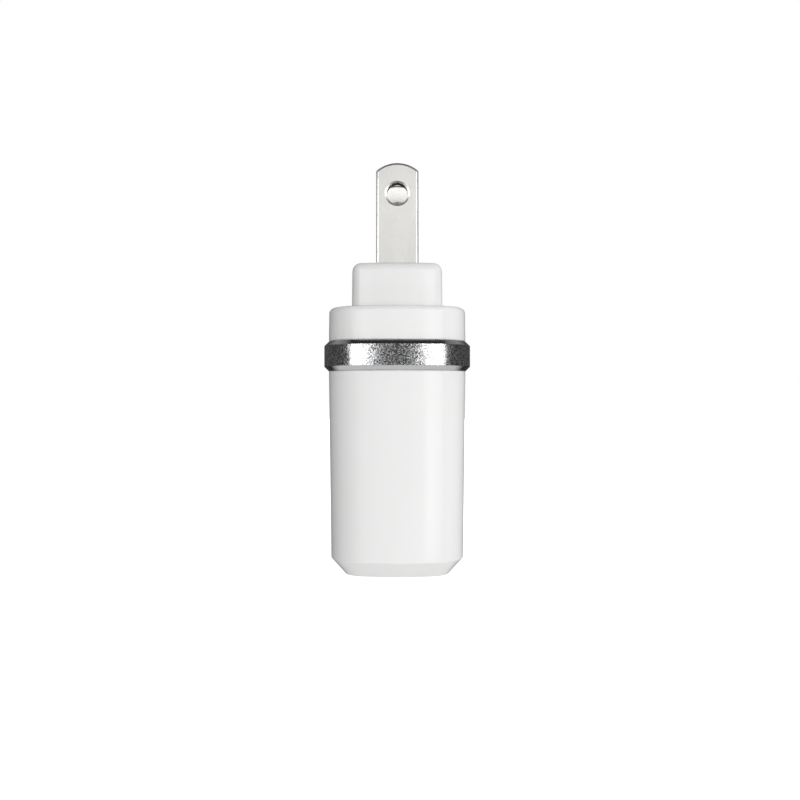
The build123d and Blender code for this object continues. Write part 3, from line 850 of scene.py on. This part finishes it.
class CHARGER_OT_ring(bpy.types.Operator):
    """Builds the trim ring with its two cut bevels"""

    bl_idname = "charger.ring"
    bl_label = "Trim Ring"

    EDGE_STEPS = 3

    def execute(self, context):
        case = context.scene.charger_case
        low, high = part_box("trim_ring")
        proud = case.ring_proud
        bevel = case.ring_bevel
        profile = (
            (case.lip, low.z, 0),
            (bevel - proud, low.z, 0),
            (-proud, low.z + bevel, case.ring_edge),
            (-proud, high.z - bevel, case.ring_edge),
            (bevel - proud, high.z, 0),
            (case.lip, high.z, 0),
            (case.lip, low.z, 0),
        )
        mesh = bmesh.new()
        case_plan(case).carry(mesh, profile, self.EDGE_STEPS)
        bmesh.ops.recalc_face_normals(mesh, faces=mesh.faces)
        for face in mesh.faces:
            # The bevels and the hidden faces behind them are cut, and the band is blasted
            face.material_index = int(abs(face.normal.z) > 0.5)
        finish = context.scene.charger_finish
        materials = [blasted_aluminium(finish), cut_aluminium(finish)]
        finish_piece(mesh, "ring_band", materials, ["trim_ring"])
        return {"FINISHED"}


class CHARGER_OT_blades(bpy.types.Operator):
    """Builds the two blades with rounded tips and bevelled lock holes"""

    bl_idname = "charger.blades"
    bl_label = "Blades"

    TIP_STEPS = 32
    HOLE_STEPS = 64
    EDGE_STEPS = 3
    EDGE_SHAPE = 0.62  # bevel profile, a little fuller than an arc

    def execute(self, context):
        blade = context.scene.charger_blade
        case = context.scene.charger_case
        materials = [nickel_plate(context.scene.charger_finish), punched_wall()]
        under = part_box("front_cap")[1].z - case.face
        for node in ("blade_line", "blade_neutral"):
            low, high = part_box(node)
            mesh = bmesh.new()
            self.strip(mesh, blade, low.y, high.y, under, high.z)
            self.lock_hole(mesh, blade, low.y, high.y, high.z)
            for y in (low.y, high.y):
                close_flat(mesh, Y, y)
            neck = under - blade.flange_height
            brick(mesh, (-blade.flange / 2, low.y, neck), (blade.flange / 2, high.y, under))
            brick(mesh, (-blade.tail / 2, low.y, low.z), (blade.tail / 2, high.y, neck))
            name = node.replace("blade", "plated_blade")
            finish_piece(mesh, name, materials, [node])
        return {"FINISHED"}

    def strip(self, mesh, blade, low, high, under, tip):
        """The strip with its rounded tip and bevelled outline, open on its two sides."""
        centre = tip - blade.tip_radius
        half = blade.width / 2
        turn = math.asin(half / blade.tip_radius)
        start = mesh.verts.new((half, low, centre + blade.tip_radius * math.cos(turn)))
        bmesh.ops.spin(
            mesh,
            geom=[start],
            cent=(0, low, centre),
            axis=(0, 1, 0),
            angle=-2 * turn,
            steps=self.TIP_STEPS,
            use_merge=False,
            use_duplicate=False,
        )
        ends = [vertex for vertex in mesh.verts if len(vertex.link_edges) == 1]
        feet = [mesh.verts.new((vertex.co.x, low, under)) for vertex in ends]
        for pair in (*zip(ends, feet), feet):
            mesh.edges.new(pair)
        side = bmesh.ops.contextual_create(mesh, geom=mesh.edges)["faces"]
        thick = bmesh.ops.extrude_face_region(mesh, geom=side, use_keep_orig=True)
        moved = [item for item in thick["geom"] if isinstance(item, bmesh.types.BMVert)]
        bmesh.ops.translate(mesh, vec=(0, high - low, 0), verts=moved)
        outline = [
            edge
            for edge in mesh.edges
            if abs(edge.verts[0].co.y - edge.verts[1].co.y) < WELD
        ]
        bmesh.ops.bevel(
            mesh,
            geom=outline,
            offset=blade.edge_bevel,
            offset_type="OFFSET",
            segments=self.EDGE_STEPS,
            profile=self.EDGE_SHAPE,
            affect="EDGES",
            material=-1,
        )
        sides = [face for face in mesh.faces if self.is_side(face, low) or self.is_side(face, high)]
        bmesh.ops.delete(mesh, geom=sides, context="FACES_ONLY")

    @staticmethod
    def is_side(face, y):
        """Whether a face lies flat at one side of the strip."""
        return all(abs(vertex.co.y - y) < WELD for vertex in face.verts)

    def lock_hole(self, mesh, blade, low, high, tip):
        """The lock hole's wall with its two bevelled rims."""
        bevel = blade.hole_bevel
        radius = blade.hole / 2
        depth = blade.hole_bevel_depth
        centre = tip - blade.hole_from_tip
        wall = (
            (low, radius + bevel),
            (low + depth, radius),
            (high - depth, radius),
            (high, radius + bevel),
        )
        points = [mesh.verts.new((out, y, centre)) for y, out in wall]
        wire = [mesh.edges.new(pair) for pair in zip(points, points[1:])]
        older = set(mesh.faces)
        bmesh.ops.spin(
            mesh,
            geom=points + wire,
            cent=(0, 0, centre),
            axis=(0, 1, 0),
            angle=math.tau,
            steps=self.HOLE_STEPS,
            use_merge=True,
            use_duplicate=False,
        )
        for face in set(mesh.faces) - older:
            # The wall is as punched and painted near black as shade, and its bevels are plated
            face.material_index = int(abs(face.normal.y) < 0.1)


class CHARGER_OT_sockets(bpy.types.Operator):
    """Finishes the two receptacles"""

    bl_idname = "charger.sockets"
    bl_label = "Sockets"

    def execute(self, context):
        gold = rolled_metal("gold_flash", tuple(context.scene.charger_finish.gold), 0.25)
        steel = rolled_metal("socket_steel", (0.62, 0.62, 0.63), 0.3)
        white = matt_plastic("socket_tongue", (0.82, 0.82, 0.8), roughness=0.45)
        for side in ("left", "right"):
            dress(f"usb_shell_{side}", steel)
            dress(f"usb_tongue_{side}", white)
            dress(f"usb_contacts_{side}", gold)
        dress("board_link_pins", gold)
        return {"FINISHED"}


class CHARGER_OT_boards(bpy.types.Operator):
    """Finishes the boards, the film, the clips and the fixings"""

    bl_idname = "charger.boards"
    bl_label = "Boards and Fixings"

    def execute(self, context):
        board = circuit_board(context.scene.charger_finish)
        brass = rolled_metal("spring_brass", (0.7, 0.5, 0.2), 0.3)
        for node in ("usb_board", "main_board"):
            dress(node, board)
        for node in ("contact_clip_line", "contact_clip_neutral"):
            dress(node, brass)
        dress("solder_joints", rolled_metal("solder", (0.68, 0.68, 0.67), 0.28, (1, 1, 1)))
        dress("retainer_screws", rolled_metal("zinc_plate", (0.6, 0.61, 0.63), 0.35, (1, 1, 3)))
        dress("blade_retainer", matt_plastic("retainer_plastic", (0.7, 0.68, 0.62)))
        dress("insulation_sheet", clear_film("insulating_film", (0.75, 0.68, 0.42)))
        return {"FINISHED"}


class CHARGER_OT_transformer(bpy.types.Operator):
    """Finishes the transformer"""

    bl_idname = "charger.transformer"
    bl_label = "Transformer"

    def execute(self, context):
        ferrite = sintered("ferrite", (0.035, 0.035, 0.04), (0.1, 0.1, 0.105))
        for half in ("lower", "upper"):
            dress(f"transformer_core_{half}", ferrite)
        dress("transformer_bobbin", matt_plastic("bobbin_plastic", (0.03, 0.03, 0.032)))
        dress("transformer_winding", wound_copper())
        dress("transformer_tape", clear_film("yellow_tape", (0.85, 0.62, 0.08)))
        return {"FINISHED"}


class CHARGER_OT_components(bpy.types.Operator):
    """Finishes the parts on the upright board"""

    bl_idname = "charger.components"
    bl_label = "Components"

    def execute(self, context):
        sleeve = (0.02, 0.03, 0.09)
        stripe = (0.55, 0.57, 0.6)
        brown = (0.35, 0.12, 0.04)
        jet = (0.02, 0.02, 0.02)
        orange = (0.6, 0.3, 0.05)
        gilt = (0.5, 0.4, 0.1)
        for node in ("input_capacitor", "output_capacitor"):
            dress(node, banded(node, f"{node}_sleeve", sleeve, ((0.42, 0.56, stripe),), 0.3))
        resistor_rings = ((0.25, 0.32, brown), (0.4, 0.47, jet), (0.56, 0.63, orange))
        inductor_rings = ((0.3, 0.37, brown), (0.45, 0.52, jet), (0.62, 0.69, gilt))
        for node, name, base, rings in (
            ("fusible_resistor", "resistor_coat", (0.16, 0.32, 0.2), resistor_rings),
            ("filter_inductor", "inductor_coat", (0.2, 0.34, 0.12), inductor_rings),
        ):
            dress(node, banded(node, name, base, rings))
        disc = sintered("disc_coat", (0.03, 0.12, 0.3), (0.05, 0.2, 0.42), 0.5 * MM, 0.4)
        dress("safety_capacitor", disc)
        black = matt_plastic("package_black", (0.025, 0.025, 0.027))
        for node in ("bridge_rectifier", "controller_chip", "output_rectifier"):
            dress(node, black)
        dress("opto_coupler", matt_plastic("coupler_white", (0.75, 0.75, 0.72)))
        dress("chip_passives", sintered("chip_ceramic", (0.3, 0.2, 0.12), (0.45, 0.33, 0.22)))
        return {"FINISHED"}


class CHARGER_OT_stage(bpy.types.Operator):
    """Lays the pale floor, hangs the soft lights and places the camera"""

    bl_idname = "charger.stage"
    bl_label = "Stage"

    def execute(self, context):
        stage = context.scene.charger_stage
        self.camera(context, stage)
        self.floor(context, stage)
        self.world(context)
        self.lights(context, stage)
        context.scene.view_settings.view_transform = "Standard"
        return {"FINISHED"}

    @staticmethod
    def camera(context, stage):
        """A level camera in front of the narrow side."""
        data = bpy.data.cameras.new("camera")
        data.lens = stage.focal_length
        data.sensor_width = 36.0
        data.clip_start = 1 * MM
        data.clip_end = 100.0
        camera = bpy.data.objects.new("camera", data)
        camera.location = (stage.camera_side, -stage.camera_distance, stage.camera_height)
        camera.rotation_euler = (math.radians(90), 0, 0)
        context.scene.collection.objects.link(camera)
        context.scene.camera = camera

    @staticmethod
    def floor(context, stage):
        """The pale floor, kept out of the charger's reflections and soft light."""
        mesh = bmesh.new()
        bmesh.ops.create_grid(mesh, x_segments=1, y_segments=1, size=stage.floor_size / 2)
        data = bpy.data.meshes.new("floor")
        mesh.to_mesh(data)
        mesh.free()
        floor = bpy.data.objects.new("floor", data)
        made = Finish(
            "floor_paper",
            Roughness=1.0,
            Specular_IOR_Level=0.0,
            Emission_Color=(1, 1, 1, 1),
            Emission_Strength=stage.floor_glow,
        )
        shade = tuple(stage.floor_colour)
        fibre = made.noise(4 * MM, 3.0)
        tone = made.blend(made.remap(fibre, 0.3, 0.7), tint(shade, 0.995), tint(shade, 1.005))
        data.materials.append(made.feed(Base_Color=tone))
        context.scene.collection.objects.link(floor)
        floor.visible_glossy = False
        floor.visible_diffuse = False
        floor.visible_shadow = False

    @staticmethod
    def world(context):
        """White to the camera, even for soft light, and banded by height in reflections."""
        world = bpy.data.worlds.new("studio")
        world.use_nodes = True
        context.scene.world = world
        sky = Nodes(world.node_tree)
        around = sky.add("ShaderNodeTexCoord", output="Generated")
        height = sky.add("ShaderNodeSeparateXYZ", None, {0: around}, "Z")
        bands = sky.add(
            "ShaderNodeValToRGB",
            {"stops": [(place, (value,) * 3) for place, value in REFLECTED_BANDS]},
            {0: sky.remap(height, -1.0, 1.0)},
        )
        reflected = sky.add("ShaderNodeLightPath", output="Is Glossy Ray")
        direct = sky.add("ShaderNodeLightPath", output="Is Camera Ray")
        lit = sky.blend(reflected, SOFT_SURROUND, bands)
        shown = sky.blend(direct, lit, (1, 1, 1))
        sky.tree.links.new(shown.socket, sky.tree.nodes["Background"].inputs["Color"])

    def lights(self, context, stage):
        """Hangs every card at the same distance, facing the charger's middle."""
        middle = Vector((0, 0, stage.light_height))
        lit = {group: self.receivers(group, names) for group, names in LIT_TOGETHER.items()}
        for card in CARDS:
            data = bpy.data.lights.new(card.name, "AREA")
            data.shape = "RECTANGLE"
            data.size = card.width
            data.size_y = card.height
            data.energy = card.strength * math.pi * card.width * card.height
            light = bpy.data.objects.new(card.name, data)
            turned = Vector((0, -stage.light_distance, 0))
            turned.rotate(Matrix.Rotation(math.radians(-card.elevation), 3, "X"))
            turned.rotate(Matrix.Rotation(math.radians(card.azimuth), 3, "Z"))
            light.location = middle + turned
            light.rotation_euler = (middle - light.location).to_track_quat("-Z", "Y").to_euler()
            light.visible_glossy = card.in_reflections
            light.visible_diffuse = card.in_soft_light
            light.visible_camera = False
            if card.receivers:
                light.light_linking.receiver_collection = lit[card.receivers]
            context.scene.collection.objects.link(light)

    @staticmethod
    def receivers(group, names):
        """A collection of the pieces that a flagged light still reaches."""
        collection = bpy.data.collections.new(group)
        for name in names:
            collection.objects.link(bpy.data.objects[name])
        return collection


OPERATORS = (
    CHARGER_OT_housing,
    CHARGER_OT_cap,
    CHARGER_OT_ring,
    CHARGER_OT_blades,
    CHARGER_OT_sockets,
    CHARGER_OT_boards,
    CHARGER_OT_transformer,
    CHARGER_OT_components,
    CHARGER_OT_stage,
)


class CHARGER_PT_panel(bpy.types.Panel):
    """Lists the charger's pieces and their sizes"""

    bl_idname = "CHARGER_PT_panel"
    bl_label = "Charger"
    bl_space_type = "VIEW_3D"
    bl_region_type = "UI"
    bl_category = "Charger"

    def draw(self, context):
        layout = self.layout
        for operator in OPERATORS:
            layout.operator(operator.bl_idname)
        for group, kind in GROUPS.items():
            box = layout.box()
            for name in kind.__annotations__:
                box.prop(getattr(context.scene, group), name)


CLASSES = (*GROUPS.values(), *OPERATORS, CHARGER_PT_panel)


def register():
    for item in CLASSES:
        bpy.utils.register_class(item)
    for group, kind in GROUPS.items():
        setattr(bpy.types.Scene, group, PointerProperty(type=kind))


def unregister():
    for group in GROUPS:
        delattr(bpy.types.Scene, group)
    for item in reversed(CLASSES):
        bpy.utils.unregister_class(item)


def main():
    register()
    for operator in OPERATORS:
        family, name = operator.bl_idname.split(".")
        getattr(getattr(bpy.ops, family), name)()


if __name__ == "__main__":
    main()
